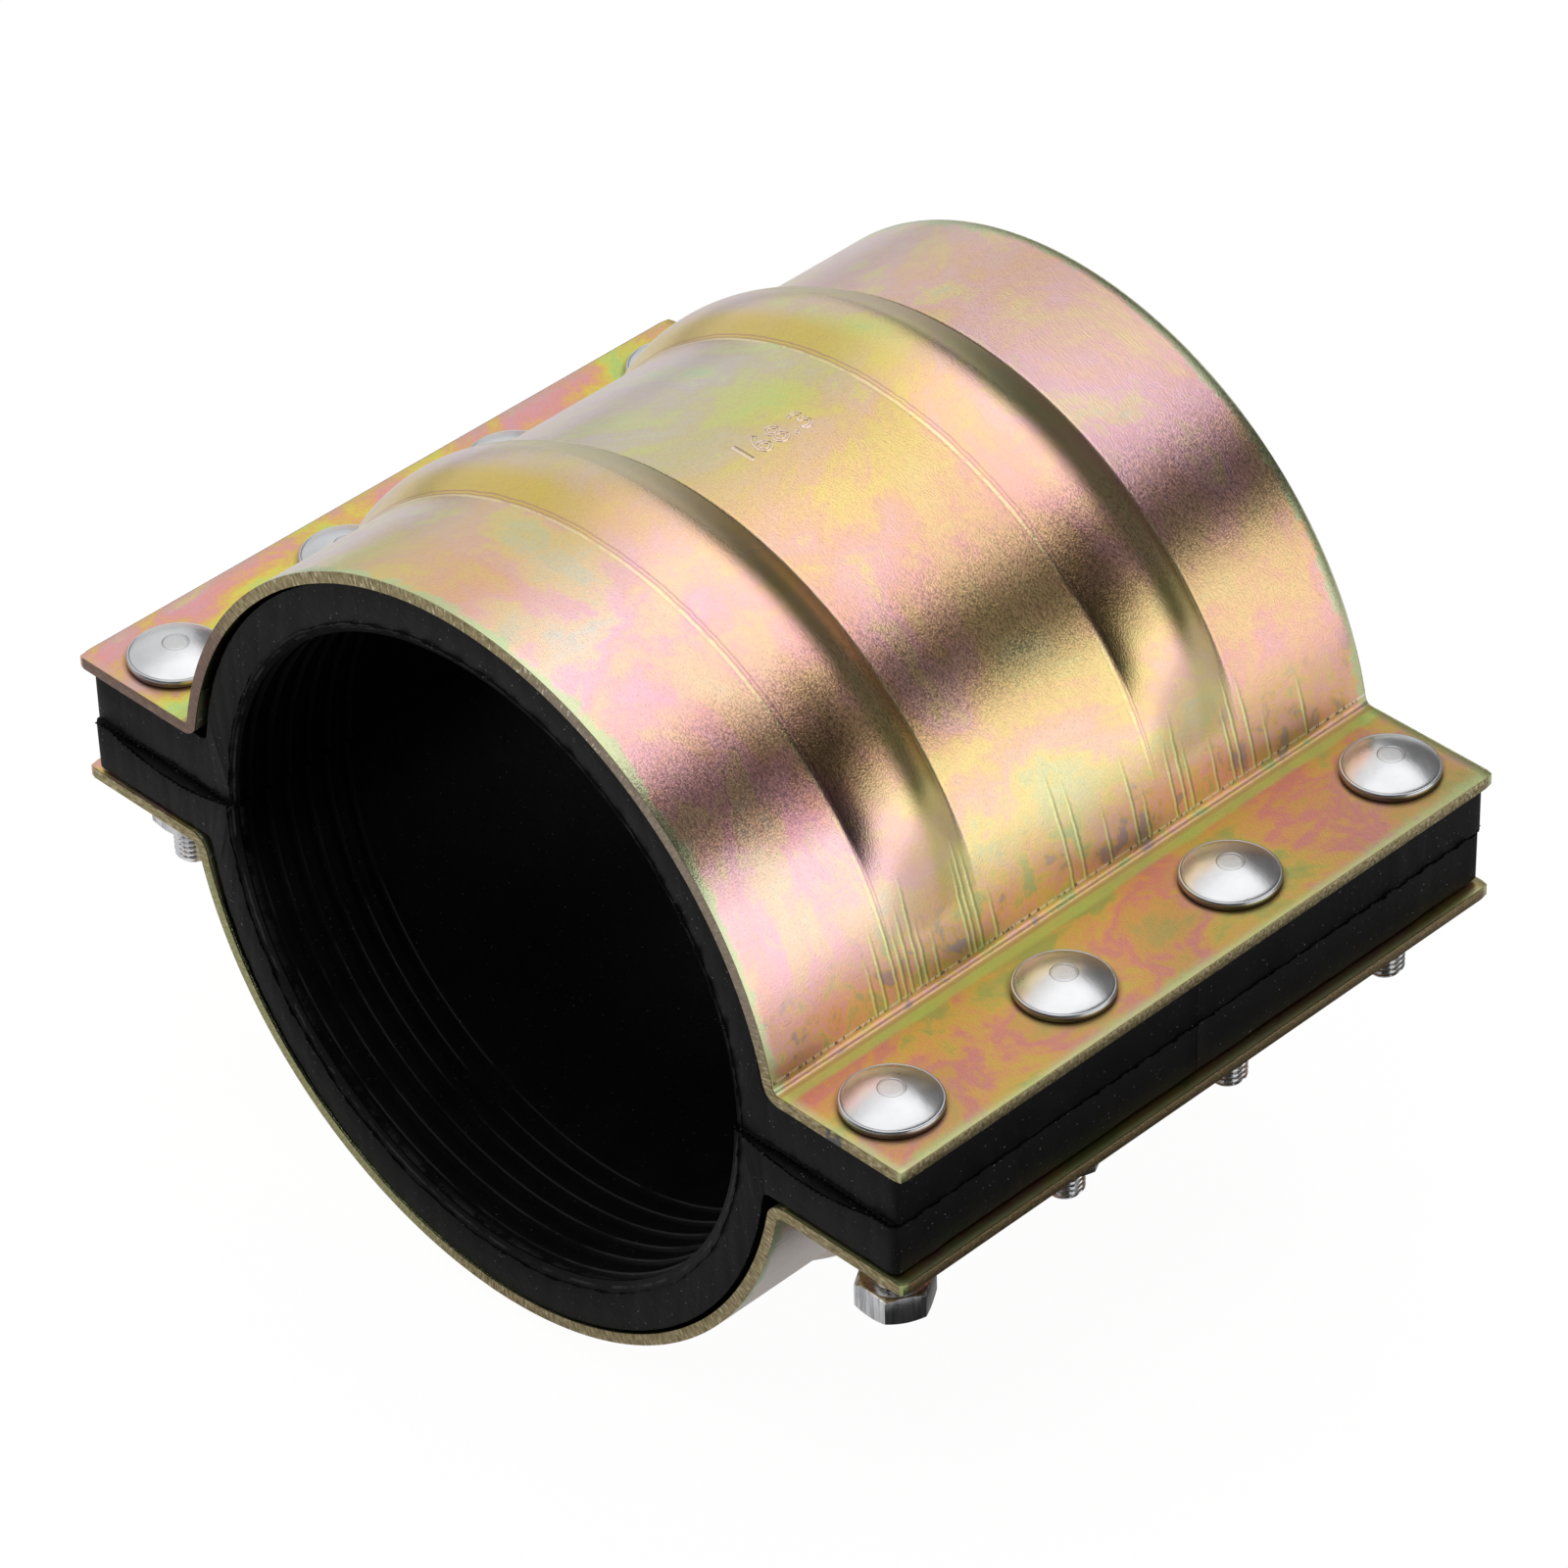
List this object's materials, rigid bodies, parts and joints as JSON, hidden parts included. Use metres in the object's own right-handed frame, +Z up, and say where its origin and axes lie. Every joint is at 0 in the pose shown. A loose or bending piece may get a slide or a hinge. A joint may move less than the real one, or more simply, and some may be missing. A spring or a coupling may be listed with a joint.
{
  "type": "pipe repair clamp",
  "caption": "Split pipe repair clamp: two ribbed sheet-metal half shells with bolting flanges around a two-part rubber sleeve that seals a leak in a pipe.",
  "frame": {"origin": "middle of the clamp on the pipe's axis, at the height where the halves part", "axes": "+Y along the pipe to the rear, +X to the right across the bolting flanges, +Z up out of the bolt heads' side"},
  "size_m": [0.28, 0.2005, 0.2128],
  "materials": {
    "yellow_zinc_sheet": "yellow passivated zinc plating, iridescent",
    "black_rubber": "moulded, semi-matt",
    "bright_zinc_bolt": "bright zinc plating, polished",
    "bright_zinc_nut": "bright zinc plating"
  },
  "bodies": {
    "clamp": {"upper_shell": "yellow_zinc_sheet", "lower_shell": "yellow_zinc_sheet", "upper_gasket": "black_rubber", "lower_gasket": "black_rubber", "bolt_left_1": "bright_zinc_bolt", "bolt_left_2": "bright_zinc_bolt", "bolt_left_3": "bright_zinc_bolt", "bolt_left_4": "bright_zinc_bolt", "bolt_right_1": "bright_zinc_bolt", "bolt_right_2": "bright_zinc_bolt", "bolt_right_3": "bright_zinc_bolt", "bolt_right_4": "bright_zinc_bolt"},
    "nut_left_1": {"nut_left_1": "bright_zinc_nut"},
    "nut_left_2": {"nut_left_2": "bright_zinc_nut"},
    "nut_left_3": {"nut_left_3": "bright_zinc_nut"},
    "nut_left_4": {"nut_left_4": "bright_zinc_nut"},
    "nut_right_1": {"nut_right_1": "bright_zinc_nut"},
    "nut_right_2": {"nut_right_2": "bright_zinc_nut"},
    "nut_right_3": {"nut_right_3": "bright_zinc_nut"},
    "nut_right_4": {"nut_right_4": "bright_zinc_nut"}
  },
  "joints": [
    {"name": "nut_left_1_slide", "type": "slide", "parent": "clamp", "child": "nut_left_1", "axis": [0, 0, 1], "range_m": [-0.0115, 0.0037]},
    {"name": "nut_left_2_slide", "type": "slide", "parent": "clamp", "child": "nut_left_2", "axis": [0, 0, 1], "range_m": [-0.0115, 0.0037]},
    {"name": "nut_left_3_slide", "type": "slide", "parent": "clamp", "child": "nut_left_3", "axis": [0, 0, 1], "range_m": [-0.0115, 0.0037]},
    {"name": "nut_left_4_slide", "type": "slide", "parent": "clamp", "child": "nut_left_4", "axis": [0, 0, 1], "range_m": [-0.0115, 0.0037]},
    {"name": "nut_right_1_slide", "type": "slide", "parent": "clamp", "child": "nut_right_1", "axis": [0, 0, 1], "range_m": [-0.0014, 0.0138]},
    {"name": "nut_right_2_slide", "type": "slide", "parent": "clamp", "child": "nut_right_2", "axis": [0, 0, 1], "range_m": [-0.0099, 0.0053]},
    {"name": "nut_right_3_slide", "type": "slide", "parent": "clamp", "child": "nut_right_3", "axis": [0, 0, 1], "range_m": [-0.014, 0.0012]},
    {"name": "nut_right_4_slide", "type": "slide", "parent": "clamp", "child": "nut_right_4", "axis": [0, 0, 1], "range_m": [-0.014, 0.0012]}
  ]
}
